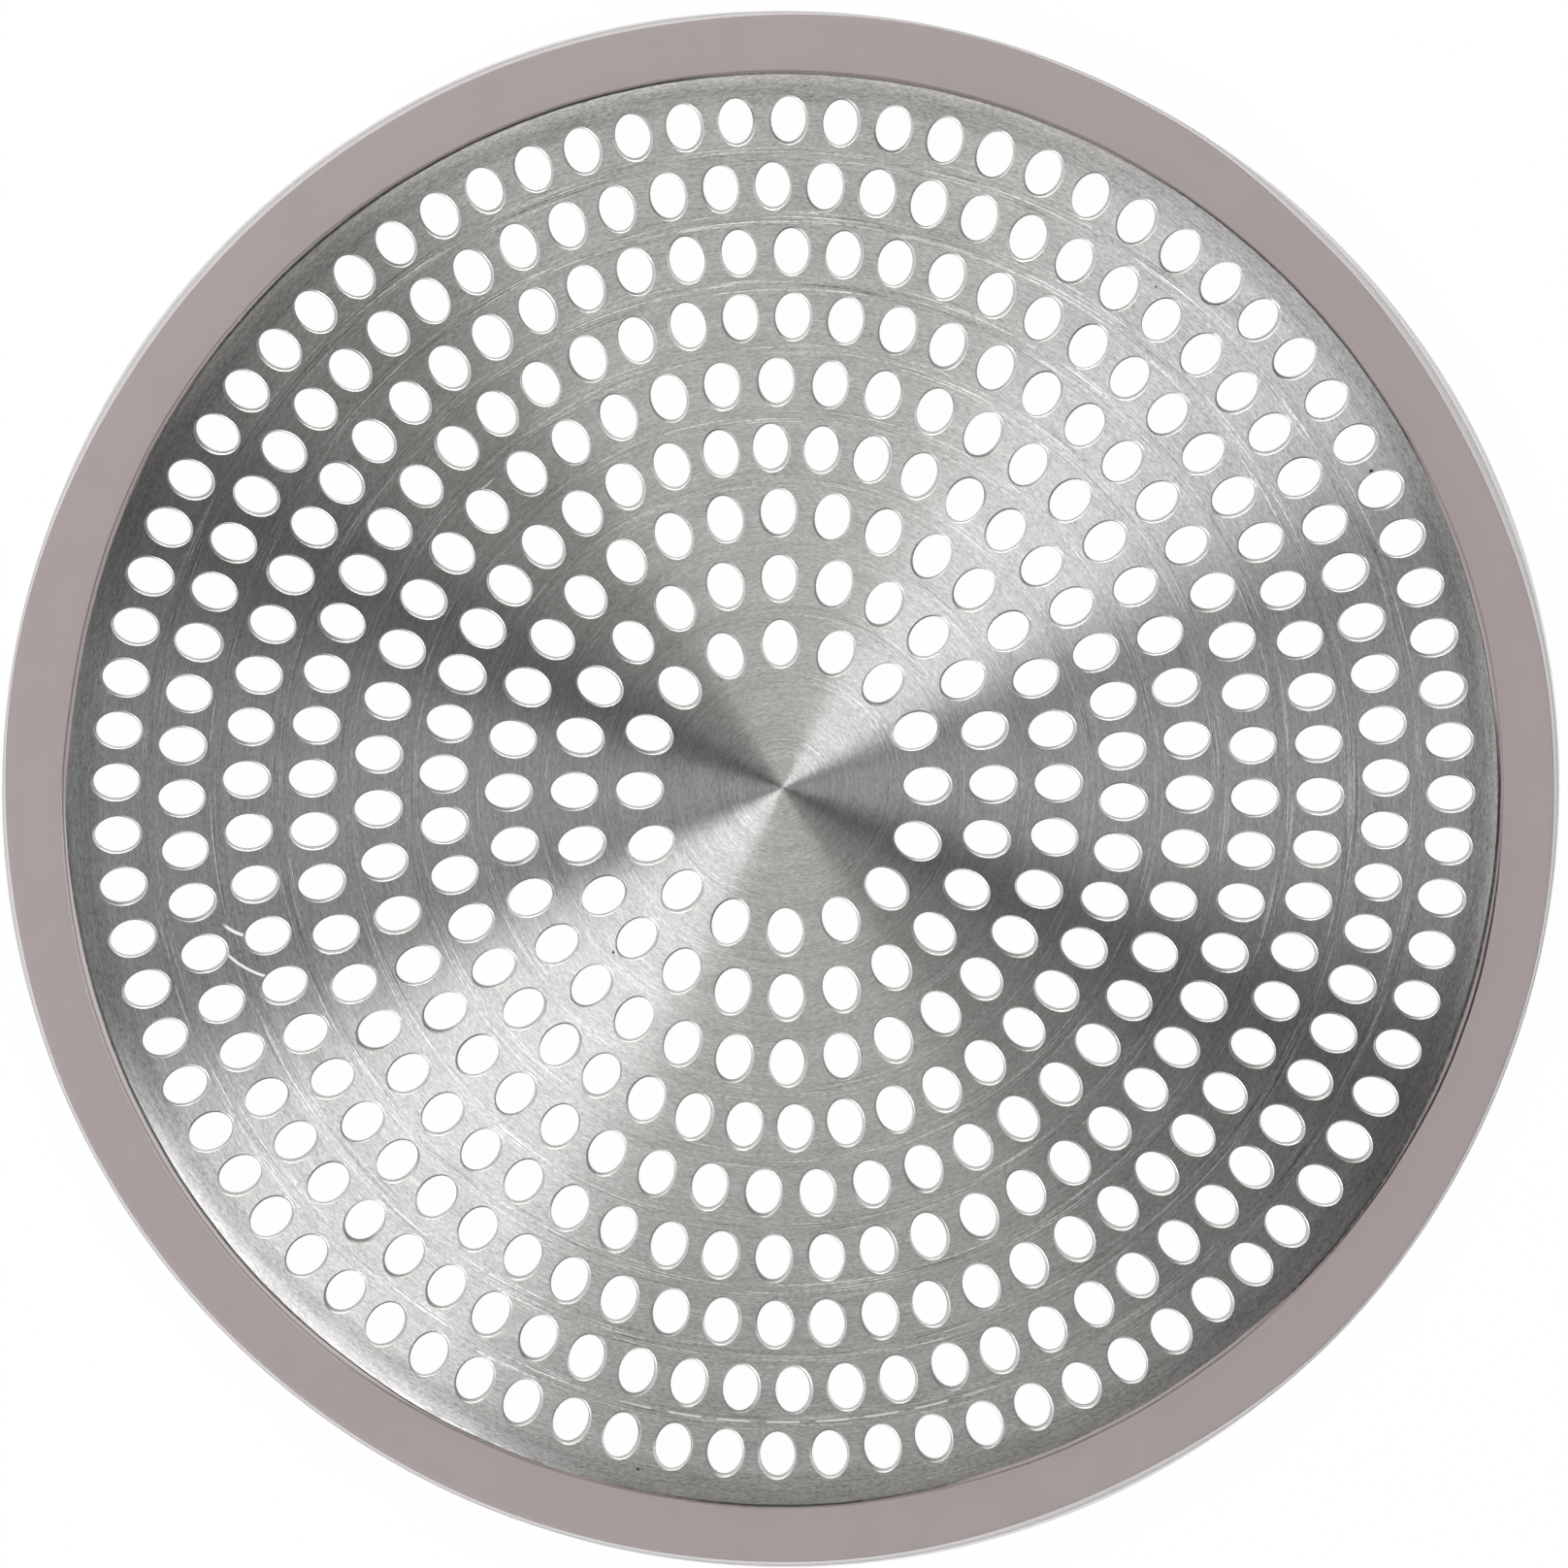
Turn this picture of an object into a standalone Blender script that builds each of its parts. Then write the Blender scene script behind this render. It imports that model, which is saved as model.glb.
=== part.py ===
"""Shower drain strainer: a punched steel plate whose edge sits in the groove of a moulded silicone rim.

The strainer lies flat. Its origin is at the middle of the rim's underside, +Z is up, and every
length is in metres.
"""

from math import cos, pi, radians, sin, sqrt

import bmesh
import bpy
from mathutils import Matrix

for leftover in list(bpy.data.objects):
    bpy.data.objects.remove(leftover, do_unlink=True)

# Rim
RIM_DIAMETER = 0.146        # over its foot, where it is widest
RIM_HEIGHT = 0.006          # from the foot to the top of the lip
RIM_FACE = 0.0061           # from the outside to the upper lip's edge, seen from above
LIP_EDGE = 0.0005           # thickness of the upper lip at its edge
LIP_NOSE_RADIUS = 0.0002    # of the upper lip's top corner
FACE_FALL = 0.0002          # of the rim's face from the lip out to the shoulder
SHOULDER_RADIUS = 0.0003    # between the face and the outer wall
WALL_DRAFT = 0.0005         # the wall leans in by this much from the foot up to the shoulder
FOOT_CHAMFER = 0.0004
LOWER_LIP_SETBACK = 0.0006  # from the plate's flat part out to the lower lip's edge

# Plate
PLATE_THICKNESS = 0.0008
TUCK = 0.0032               # how far the plate reaches in under the upper lip
DISH_WIDTH = 0.0018         # of the sloping margin that shows inside the upper lip
DISH_SLOPE = 0.06           # fall of that margin for each metre outwards

# Holes
HOLES_PER_RING = (16, 24, 32, 42, 47, 56, 64, 72, 80)
RING_TURN_DEG = (0.9, 1.0, 1.0, -2.3, -0.9, -1.2, -0.9, 1.0, -0.5)
FIRST_RING_RADIUS = 0.0135
OUTER_RING_INSET = 0.0044   # from the upper lip's edge to the middle of the outermost holes
HOLE_LENGTH = 0.0043        # along the radius
HOLE_WIDTH = 0.0033
HOLE_SIDES = 6
PUNCH_OVERRUN = 0.0010      # how far each punch stands out above and below the plate

# Fits and fineness
GROOVE_GAP = 0.0003         # between the plate's edge and the groove, above, below and outside
SEGMENTS = 72               # round the rim and the plate
CORNER_STEPS = 2            # round the lip's nose and the shoulder
CREASE_DEG = 50             # edges that turn by more than this are shaded sharp

# Finishes
STEEL_COLOUR = (0.56, 0.555, 0.54)
STEEL_ROUGHNESS = 0.32
SILICONE_COLOUR = (0.39, 0.345, 0.35)
SILICONE_ROUGHNESS = 0.55

LIP_RADIUS = RIM_DIAMETER / 2 - RIM_FACE
DISH_RADIUS = LIP_RADIUS - DISH_WIDTH
PLATE_RADIUS = LIP_RADIUS + TUCK
OUTER_RING_RADIUS = LIP_RADIUS - OUTER_RING_INSET


def fall(radius):
    """How far the plate's margin has dished down at this radius."""
    return max(0.0, radius - DISH_RADIUS) * DISH_SLOPE


PLATE_TOP = RIM_HEIGHT - LIP_EDGE - GROOVE_GAP + fall(LIP_RADIUS)


def material(name, colour, roughness, metallic):
    made = bpy.data.materials.new(name)
    made.use_nodes = True
    shader = made.node_tree.nodes["Principled BSDF"]
    shader.inputs["Base Color"].default_value = (*colour, 1.0)
    shader.inputs["Roughness"].default_value = roughness
    shader.inputs["Metallic"].default_value = metallic
    return made


def turned(name, profile, closed):
    """A ring or a disc turned about Z from a profile of (radius, height) points."""
    shape = bmesh.new()
    points = [shape.verts.new((radius, 0.0, height)) for radius, height in profile]
    edges = [shape.edges.new(pair) for pair in zip(points, points[1:])]
    if closed:
        edges.append(shape.edges.new((points[-1], points[0])))
    bmesh.ops.spin(shape, geom=points + edges, cent=(0.0, 0.0, 0.0), axis=(0.0, 0.0, 1.0),
                   angle=2 * pi, steps=SEGMENTS, use_merge=True)
    if not closed:
        bmesh.ops.holes_fill(shape, edges=[edge for edge in shape.edges if edge.is_boundary],
                             sides=SEGMENTS)
    bmesh.ops.recalc_face_normals(shape, faces=shape.faces)
    mesh = bpy.data.meshes.new(name)
    shape.to_mesh(mesh)
    shape.free()
    return mesh


def placed(name, mesh, finish=None):
    made = bpy.data.objects.new(name, mesh)
    bpy.context.scene.collection.objects.link(made)
    if finish:
        mesh.materials.append(finish)
        mesh.shade_smooth()
        mesh.set_sharp_from_angle(angle=radians(CREASE_DEG))
    return made


def plate_blank():
    """The disc before it is punched: flat, with a margin that dishes down to its edge."""
    edge = fall(PLATE_RADIUS)
    low = PLATE_TOP - PLATE_THICKNESS
    return turned("strainer_plate", [
        (DISH_RADIUS, PLATE_TOP),
        (PLATE_RADIUS, PLATE_TOP - edge),
        (PLATE_RADIUS, low - edge),
        (DISH_RADIUS, low),
    ], closed=False)


def ring_radius(ring):
    share = ring / (len(HOLES_PER_RING) - 1)
    return FIRST_RING_RADIUS + share * (OUTER_RING_RADIUS - FIRST_RING_RADIUS)


def punches():
    """One oval punch for each hole, its long way along the radius, as separate closed prisms.

    An oval with few sides is made larger until it has the true oval's area.
    """
    full_area = HOLE_SIDES / (2 * pi) * sin(2 * pi / HOLE_SIDES)
    swell = 1 / sqrt(full_area)
    depth = PLATE_THICKNESS + 2 * PUNCH_OVERRUN
    middle = PLATE_TOP - PLATE_THICKNESS / 2
    shape = bmesh.new()
    for ring, count in enumerate(HOLES_PER_RING):
        for hole in range(count):
            turn = radians(RING_TURN_DEG[ring]) + 2 * pi * hole / count
            bmesh.ops.create_cone(
                shape, cap_ends=True, cap_tris=False, segments=HOLE_SIDES,
                radius1=swell / 2, radius2=swell / 2, depth=depth,
                matrix=Matrix.Rotation(turn, 4, "Z")
                @ Matrix.Translation((ring_radius(ring), 0.0, middle))
                @ Matrix.Diagonal((HOLE_LENGTH, HOLE_WIDTH, 1.0, 1.0))
                @ Matrix.Rotation(pi / 2, 4, "Z"))
    mesh = bpy.data.meshes.new("punches")
    shape.to_mesh(mesh)
    shape.free()
    return mesh


def strainer_plate():
    steel = material("brushed_steel", STEEL_COLOUR, STEEL_ROUGHNESS, metallic=1.0)
    plate = placed("strainer_plate", plate_blank(), steel)
    tools = placed("punches", punches())
    tools.hide_render = True
    tools.display_type = "WIRE"
    cut = plate.modifiers.new("punched holes", "BOOLEAN")
    cut.operation = "DIFFERENCE"
    cut.solver = "EXACT"
    cut.object = tools


def corner(radius, height, size, start_deg):
    """A round corner of the profile: a quarter turn down from start_deg about its middle."""
    turns = [radians(start_deg - 90 * step / CORNER_STEPS) for step in range(CORNER_STEPS + 1)]
    return [(radius + size * cos(turn), height + size * sin(turn)) for turn in turns]


def rim_profile():
    """The rim's section, from the upper lip over the face and the wall to the foot and the groove."""
    widest = RIM_DIAMETER / 2
    wall_top = widest - WALL_DRAFT
    groove_radius = PLATE_RADIUS + GROOVE_GAP
    lower_lip_radius = DISH_RADIUS + LOWER_LIP_SETBACK

    def roof(radius):
        return PLATE_TOP - fall(radius) + GROOVE_GAP

    def floor(radius):
        return PLATE_TOP - PLATE_THICKNESS - fall(radius) - GROOVE_GAP

    points = [(LIP_RADIUS, roof(LIP_RADIUS))]
    points += corner(LIP_RADIUS + LIP_NOSE_RADIUS, RIM_HEIGHT - LIP_NOSE_RADIUS, LIP_NOSE_RADIUS, 180)
    points += corner(wall_top - SHOULDER_RADIUS, RIM_HEIGHT - FACE_FALL - SHOULDER_RADIUS,
                     SHOULDER_RADIUS, 90)
    points += [
        (widest, FOOT_CHAMFER),
        (widest - FOOT_CHAMFER, 0.0),
        (lower_lip_radius, 0.0),
        (lower_lip_radius, floor(lower_lip_radius)),
        (groove_radius, floor(groove_radius)),
        (groove_radius, roof(groove_radius)),
    ]
    return points


def silicone_rim():
    silicone = material("mauve_silicone", SILICONE_COLOUR, SILICONE_ROUGHNESS, metallic=0.0)
    placed("silicone_rim", turned("silicone_rim", rim_profile(), closed=True), silicone)


strainer_plate()
silicone_rim()
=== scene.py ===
from math import cos, pi, radians, sin, tau

import bmesh
import bpy
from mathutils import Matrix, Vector


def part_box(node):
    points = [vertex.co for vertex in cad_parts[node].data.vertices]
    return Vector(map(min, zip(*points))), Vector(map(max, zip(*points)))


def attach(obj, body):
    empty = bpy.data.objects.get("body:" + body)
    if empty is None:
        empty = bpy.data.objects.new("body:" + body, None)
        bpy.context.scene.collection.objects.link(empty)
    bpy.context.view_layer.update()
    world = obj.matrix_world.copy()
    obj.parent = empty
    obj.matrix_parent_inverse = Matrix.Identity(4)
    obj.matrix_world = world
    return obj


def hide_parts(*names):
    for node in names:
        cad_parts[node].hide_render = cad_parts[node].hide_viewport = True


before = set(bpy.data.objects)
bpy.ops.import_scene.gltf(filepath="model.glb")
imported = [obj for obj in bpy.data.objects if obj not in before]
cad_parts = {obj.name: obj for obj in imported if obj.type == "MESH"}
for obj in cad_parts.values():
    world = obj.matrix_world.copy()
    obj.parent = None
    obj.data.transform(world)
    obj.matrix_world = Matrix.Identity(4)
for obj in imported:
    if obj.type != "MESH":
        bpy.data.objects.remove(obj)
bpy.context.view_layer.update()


# The strainer plate
# One disc of thin stainless steel, brushed in circles on a turning table and then punched with nine
# rings of oval holes. The press rolls the top edge of each hole over, and the plate's margin dishes
# down to slip into the rim's groove.

MM = 0.001
_, plate_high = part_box("strainer_plate")
PLATE_TOP = plate_high.z
PLATE_RADIUS = plate_high.x
SHEET = 0.8 * MM
FLAT_RADIUS = 65.0 * MM       # where the dished margin begins
MARGIN_FALL = 0.85 * MM       # from there down to the plate's edge
MARGIN_SWEEP = 0.8 * pi       # the part of a cosine wave that the margin's fall follows

HOLES_PER_RING = (16, 24, 32, 42, 47, 56, 64, 72, 80)
RING_TURN_DEG = (0.9, 1.0, 1.0, -2.3, -0.9, -1.2, -0.9, 1.0, -0.5)
FIRST_RING = 13.5 * MM
LAST_RING = 62.5 * MM
RING_PITCH = (LAST_RING - FIRST_RING) / (len(HOLES_PER_RING) - 1)
HOLE_LENGTH = 4.3 * MM
HOLE_WIDTH = 3.3 * MM
HOLE_SIZE_SPREAD = 0.012      # either way, as a share of a hole's size
ROLLED_EDGE = 0.20 * MM       # radius of the rounded top edge of a hole
BURR = 0.06 * MM              # bevel at a hole's foot and at the plate's edge
PUNCH_SLANT = (-0.04, 0.12)   # how far a hole's wall moves along X and Y for each metre down
PUNCH_LEAN = 0.09             # how far a hole may stray from that slant, either way
ROLL_DRAG = 1.5               # extra slant within the rolled edge, as a share of the wall's
SHADED_SIDE = radians(150)      # the direction, from a hole's middle, in which its lining has painted shade
SHADED_SIDE_SPREAD = radians(75)     # how far that direction may stray from hole to hole, either way
HOLE_SIDES = 24
ROLL_STEPS = 3
PLATE_SIDES = 360
MARGIN_STEPS = 9
PLATE_SEED = 7
JOIN_WITHIN = 0.001 * MM


class Wire:
    """What a node gives out. Python's operators on it add Math nodes to its tree."""

    def __init__(self, tree, node, out=0):
        self.tree = tree
        self.made = node
        given = [socket for socket in node.outputs if socket.enabled]
        self.socket = given[out] if isinstance(out, int) else node.outputs[out]

    def out(self, name):
        return Wire(self.tree, self.made, name)

    def maths(self, operation, *values):
        return self.tree.node("ShaderNodeMath", {"operation": operation}, dict(enumerate(values)))

    def __add__(self, other):
        return self.maths("ADD", self, other)

    def __radd__(self, other):
        return self.maths("ADD", other, self)

    def __sub__(self, other):
        return self.maths("SUBTRACT", self, other)

    def __rsub__(self, other):
        return self.maths("SUBTRACT", other, self)

    def __mul__(self, other):
        return self.maths("MULTIPLY", self, other)

    def __rmul__(self, other):
        return self.maths("MULTIPLY", other, self)

    def __truediv__(self, other):
        return self.maths("DIVIDE", self, other)

    def __rtruediv__(self, other):
        return self.maths("DIVIDE", other, self)

    def __pow__(self, other):
        return self.maths("POWER", self, other)

    def __neg__(self):
        return self.maths("MULTIPLY", self, -1.0)

    def __abs__(self):
        return self.maths("ABSOLUTE", self)

    def __lt__(self, other):
        return self.maths("LESS_THAN", self, other)

    def __gt__(self, other):
        return self.maths("GREATER_THAN", self, other)

    def within(self, low, high):
        return self.maths("MINIMUM", self.maths("MAXIMUM", self, low), high)

    def sine(self):
        return self.maths("SINE", self)

    def cosine(self):
        return self.maths("COSINE", self)


class Nodes:
    """A node tree in the making."""

    def __init__(self, tree):
        self.tree = tree
        tree.nodes.clear()

    def node(self, kind, settings=None, sockets=None, out=0):
        """Adds a node, sets its settings and its sockets' values and links, and gives what comes out."""
        made = self.tree.nodes.new(kind)
        for name, value in (settings or {}).items():
            setattr(made, name, value)
        for name, value in (sockets or {}).items():
            if isinstance(name, int):
                socket = made.inputs[name]
            else:
                socket = next(one for one in made.inputs if one.enabled and one.name == name)
            for one in value if isinstance(value, list) else [value]:
                if isinstance(one, Wire):
                    self.tree.links.new(one.socket, socket)
                else:
                    socket.default_value = one
        return Wire(self, made, out) if made.outputs else None

    def apart(self, vector):
        split = self.node("ShaderNodeSeparateXYZ", {}, {"Vector": vector})
        return split.out("X"), split.out("Y"), split.out("Z")

    def together(self, x, y, z):
        return self.node("ShaderNodeCombineXYZ", {}, {"X": x, "Y": y, "Z": z})

    def blend(self, share, first, second):
        """From the first colour to the second as the share goes from 0 to 1."""
        return self.node("ShaderNodeMix", {"data_type": "RGBA", "clamp_factor": False},
                         {"Factor": share, "A": first, "B": second})

    def ease(self, value, low, high):
        """0 up to low, 1 from high on, and smooth between them."""
        return self.node("ShaderNodeMapRange", {"interpolation_type": "SMOOTHSTEP"},
                         {"Value": value, "From Min": low, "From Max": high})

    def noise(self, vector, detail=2.0, scale=1.0, roughness=0.5):
        return self.node("ShaderNodeTexNoise", {},
                         {"Vector": vector, "Scale": scale, "Detail": detail, "Roughness": roughness})


def hole_centres():
    """One point for each hole, on the plate's top."""
    centres = bmesh.new()
    for ring, (count, first) in enumerate(zip(HOLES_PER_RING, RING_TURN_DEG)):
        radius = FIRST_RING + ring * RING_PITCH
        for hole in range(count):
            turn = radians(first) + tau * hole / count
            centres.verts.new((radius * cos(turn), radius * sin(turn), PLATE_TOP))
    mesh = bpy.data.meshes.new("hole_centres")
    centres.to_mesh(mesh)
    centres.free()
    return mesh


def punching_tree(inputs):
    """Builds the plate round the points it is given: linings, margin, and the faces between them."""
    tree = bpy.data.node_groups.new("punched_plate", "GeometryNodeTree")
    for name, (kind, value) in inputs.items():
        tree.interface.new_socket(name, in_out="INPUT", socket_type=kind)
    tree.interface.new_socket("Plate", in_out="OUTPUT", socket_type="NodeSocketGeometry")
    press = Nodes(tree)
    given = press.node("NodeGroupInput")
    sheet = given.out("Sheet")
    top = given.out("Top")
    rolled = given.out("Rolled Edge")
    burr = given.out("Burr")
    flat = given.out("Flat Radius")
    edge = given.out("Plate Radius")

    def place():
        return press.apart(press.node("GeometryNodeInputPosition"))

    def moved(geometry, **how):
        sockets = {"Geometry": geometry, **{name.title(): value for name, value in how.items()}}
        return press.node("GeometryNodeSetPosition", {}, sockets)

    def strip(sides, levels):
        """A grid to wrap into a ring, with the turn and the level of each of its points."""
        grid = press.node("GeometryNodeMeshGrid", {}, {
            "Size X": 1.0, "Size Y": 1.0, "Vertices X": sides + 1, "Vertices Y": levels + 1})
        along, across, _ = place()
        return grid, (along + 0.5) * tau, (across + 0.5) * levels

    def welded(geometry):
        return press.node("GeometryNodeMergeByDistance", {}, {
            "Geometry": geometry, "Distance": JOIN_WITHIN})

    def smooth(geometry, is_smooth):
        return press.node("GeometryNodeSetShadeSmooth", {}, {
            "Geometry": geometry, "Shade Smooth": is_smooth})

    # One lining: over the rolled edge, down the wall and over the burr
    grid, turn, level = strip(HOLE_SIDES, ROLL_STEPS + 2)
    roll = (level / ROLL_STEPS).within(0.0, 1.0) * (pi / 2)
    wall = (level - ROLL_STEPS).within(0.0, 1.0)
    last = (level - ROLL_STEPS - 1).within(0.0, 1.0)
    reach = rolled * (1 - roll.sine()) + burr * last
    depth = rolled * (1 - roll.cosine()) + (sheet - rolled - burr) * wall + burr * last
    lining = welded(moved(grid, position=press.together(
        (given.out("Hole Length") / 2 + reach) * turn.cosine(),
        (given.out("Hole Width") / 2 + reach) * turn.sine(),
        -depth)))

    # A lining at each point, turned so that its long way lies along the radius
    spread = given.out("Size Spread")
    size = press.node("FunctionNodeRandomValue", {"data_type": "FLOAT"}, {
        "Min": 1 - spread, "Max": 1 + spread, "Seed": given.out("Seed")})
    most = given.out("Punch Lean")
    lean = press.node("FunctionNodeRandomValue", {"data_type": "FLOAT_VECTOR"}, {
        "Min": press.together(given.out("Slant X") - most, given.out("Slant Y") - most, 0.0),
        "Max": press.together(given.out("Slant X") + most, given.out("Slant Y") + most, 0.0),
        "Seed": given.out("Seed") + 1})
    centres = press.node("GeometryNodeStoreNamedAttribute", {"data_type": "FLOAT_VECTOR"}, {
        "Geometry": given.out("Hole Centres"), "Name": "lean", "Value": lean})
    centres = press.node("GeometryNodeStoreNamedAttribute", {"data_type": "FLOAT_VECTOR"}, {
        "Geometry": centres, "Name": "middle", "Value": press.node("GeometryNodeInputPosition")})
    # Each lining gets painted shade on one side, turned a little differently from hole to hole
    spread = given.out("Shaded Side Spread")
    dull_side = press.node("FunctionNodeRandomValue", {"data_type": "FLOAT"}, {
        "Min": given.out("Dull Side") - spread, "Max": given.out("Dull Side") + spread,
        "Seed": given.out("Seed") + 2})
    centres = press.node("GeometryNodeStoreNamedAttribute", {"data_type": "FLOAT"}, {
        "Geometry": centres, "Name": "dull_side", "Value": dull_side})
    x, y, _ = place()
    facing = press.node("FunctionNodeEulerToRotation", {}, {
        "Euler": press.together(0.0, 0.0, y.maths("ARCTAN2", y, x))})
    linings = press.node("GeometryNodeInstanceOnPoints", {}, {
        "Points": centres, "Instance": lining, "Rotation": facing,
        "Scale": press.together(size, size, 1.0)})
    linings = press.node("GeometryNodeRealizeInstances", {}, {"Geometry": linings})
    # How far each point of a lining faces its side of painted shade
    right, up, _ = press.apart(press.node("ShaderNodeVectorMath", {"operation": "SUBTRACT"}, {
        0: press.node("GeometryNodeInputPosition"),
        1: press.node("GeometryNodeInputNamedAttribute", {"data_type": "FLOAT_VECTOR"}, {
            "Name": "middle"})}))
    dull_side = press.node("GeometryNodeInputNamedAttribute", {"data_type": "FLOAT"}, {
        "Name": "dull_side"})
    dull = ((right * dull_side.cosine() + up * dull_side.sine())
            / (right * right + up * up) ** 0.5)
    linings = press.node("GeometryNodeStoreNamedAttribute", {"data_type": "FLOAT"}, {
        "Geometry": linings, "Name": "dull", "Value": dull})
    leaning = press.node("GeometryNodeInputNamedAttribute", {"data_type": "FLOAT_VECTOR"}, {
        "Name": "lean"})
    _, _, height = place()
    deep = top - height
    linings = moved(linings, offset=press.node("ShaderNodeVectorMath", {"operation": "SCALE"}, {
        "Vector": leaning, "Scale": deep + deep.within(0.0, rolled) * given.out("Roll Drag")}))
    linings = press.node("GeometryNodeStoreNamedAttribute", {
        "data_type": "BOOLEAN", "domain": "FACE"}, {
        "Geometry": smooth(linings, True), "Name": "punched", "Value": True})

    # The margin: down the dished top, round the sheared edge and back beneath
    grid, turn, level = strip(PLATE_SIDES, MARGIN_STEPS + 4)
    level = level - MARGIN_STEPS
    out = (level / MARGIN_STEPS + 1).within(0.0, 1.0) - (level - 3).within(0.0, 1.0)
    past = level.within(0.0, 1.0) - (level - 2).within(0.0, 1.0)
    depth = (burr * (level.within(0.0, 1.0) + (level - 2).within(0.0, 1.0))
             + (sheet - burr * 2) * (level - 1).within(0.0, 1.0))
    radius = flat + (edge - burr - flat) * out + burr * past
    sweep = (radius - flat) / (edge - flat) * MARGIN_SWEEP
    fallen = given.out("Margin Fall") * (1 - sweep.cosine()) / (1 - cos(MARGIN_SWEEP))
    margin = smooth(welded(moved(grid, position=press.together(
        radius * turn.cosine(), radius * turn.sine(), top - depth - fallen))), True)

    def face(height):
        """The flat face at this height, cut out between the margin's inner edge and the holes."""
        outlines = []
        for piece in (linings, margin):
            _, _, at = place()
            outlines.append(press.node("GeometryNodeMeshToCurve", {}, {
                "Mesh": piece, "Selection": abs(at - height) < JOIN_WITHIN}))
        outline = press.node("GeometryNodeJoinGeometry", {}, {"Geometry": outlines})
        filled = press.node("GeometryNodeFillCurve", {"mode": "TRIANGLES"}, {"Curve": outline})
        return smooth(press.node("GeometryNodeTransform", {}, {
            "Geometry": filled, "Translation": press.together(0.0, 0.0, height)}), False)

    joined = press.node("GeometryNodeJoinGeometry", {}, {
        "Geometry": [linings, margin, face(top), face(top - sheet)]})
    plate = press.node("GeometryNodeRealizeInstances", {}, {"Geometry": welded(joined)})
    plate = press.node("GeometryNodeSetMaterial", {}, {
        "Geometry": plate, "Material": given.out("Brushed Face")})
    punched = press.node("GeometryNodeInputNamedAttribute", {"data_type": "BOOLEAN"}, {
        "Name": "punched"})
    plate = press.node("GeometryNodeSetMaterial", {}, {
        "Geometry": plate, "Selection": punched, "Material": given.out("Punched Edge")})
    press.node("NodeGroupOutput", {}, {"Plate": plate})
    return tree


STEEL_DARK = (0.40, 0.397, 0.392, 1.0)
STEEL_PALE = (0.66, 0.657, 0.651, 1.0)
TONE_LIMITS = (-1.0, 2.6)       # where 0 is the dark steel and 1 the pale steel
BRUSH_ROUGHNESS = 0.40
ROUGHNESS_SPREAD = 0.08         # over the hairlines
BRUSH_ANISOTROPY = 1.0
HAIRLINE_WIDTH = 0.12 * MM
HAIRLINE_LENGTH = 0.5 * MM
STREAK_WIDTH = 0.22 * MM
STREAK_LENGTH = 3.5 * MM
BAND_WIDTH = 1.5 * MM
BAND_LENGTH = 12.0 * MM
GRAIN_SIZE = 0.10 * MM
HAIRLINE_DEPTH = 0.004 * MM
# How strongly each of them shows in the steel's tone
HAIRLINE_TONE = 2.2
STREAK_TONE = 0.9
BAND_TONE = 0.6
GRAIN_TONE = 1.2
# Scores: pale strokes and dark gouges. The noise that they come from begins to show at the first
# level and shows in full at the second, and so do the dashes that break them up
SCORE_WIDTH = 0.10 * MM
SCORE_LENGTH = 10.0 * MM
SCORE_LEVELS = (0.58, 0.70)
DASH_LEVELS = (0.35, 0.55)
SCORE_TONE = 0.5
DASHED_SCORE_TONE = 0.9
GOUGE_TONE = 0.6
BETWEEN_RINGS = (0.55, 0.95)    # of a wave that is 1 half way between two rings of holes
SCORES_ANYWHERE = 0.2
SCORES_BETWEEN = 0.5
SCORES_FURTHER_OUT = 0.7
INNER_SCORES = 20 * MM
OUTER_SCORES = 45 * MM
# The plate darkens outwards, and painted shade darkens a border from the last holes to the rim's lip
OUTER_DUSK = 0.22
OUTER_DUSK_REACH = (30 * MM, 60 * MM)
BORDER_PAINTED_SHADE = 0.27
BORDER_ROUGHER = 0.04
BORDER_BEGINS = (63.6 * MM, 64.8 * MM)
BORDER_ENDS = (65.4 * MM, 67.3 * MM)
# Single turned lines, each a row of short strokes that fades out at its ends: radius in
# millimetres, where they start and end in degrees, and how bright. The last is no turned line but a
# painted highlight, a glint on the margin by the rim's lip
LINE_WIDTH = 0.13 * MM
LINE_FADE_DEG = 8
STROKE_DEG = 4.5
STROKE_LEVELS = (-0.7, -0.3)
TURNED_LINES_AND_GLINT = ((52.97, 58, 122, 0.6), (59.40, 252, 292, 2.0), (49.70, 252, 292, 0.4),
                (67.12, 233, 259, 0.9))
# Scratches across the brushing: middle, length, width and bow in millimetres, angle in degrees, and
# how bright
BARE_SCRATCH = (0.85, 0.85, 0.84, 1.0)
SCRATCH_REACH = 0.8             # of its length, from the middle to where it has faded out
SCRATCHES = ((-51.2, -13.5, 2.1, 0.20, 0.12, -24, 1.0), (-50.2, -16.8, 4.0, 0.17, 0.25, -29, 1.0),
             (-27.7, 28.4, 1.1, 0.09, 0.05, 39, 0.5), (28.3, -31.3, 0.7, 0.09, 0.0, 40, 0.5),
             (-17.9, -14.3, 1.7, 0.22, 0.10, -55, 0.5))
# Dark specks: where and how large, in millimetres
SPECK_BLACK = (0.02, 0.02, 0.02, 1.0)
SPECK_REACH = 1.4               # of its size, from the middle to where it has faded out
SPECKS = ((34.9, 46.9, 0.09), (-15.9, -15.4, 0.12), (-13.6, -63.8, 0.11), (55.1, 29.6, 0.20),
          (62.4, 15.6, 0.10))


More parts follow.
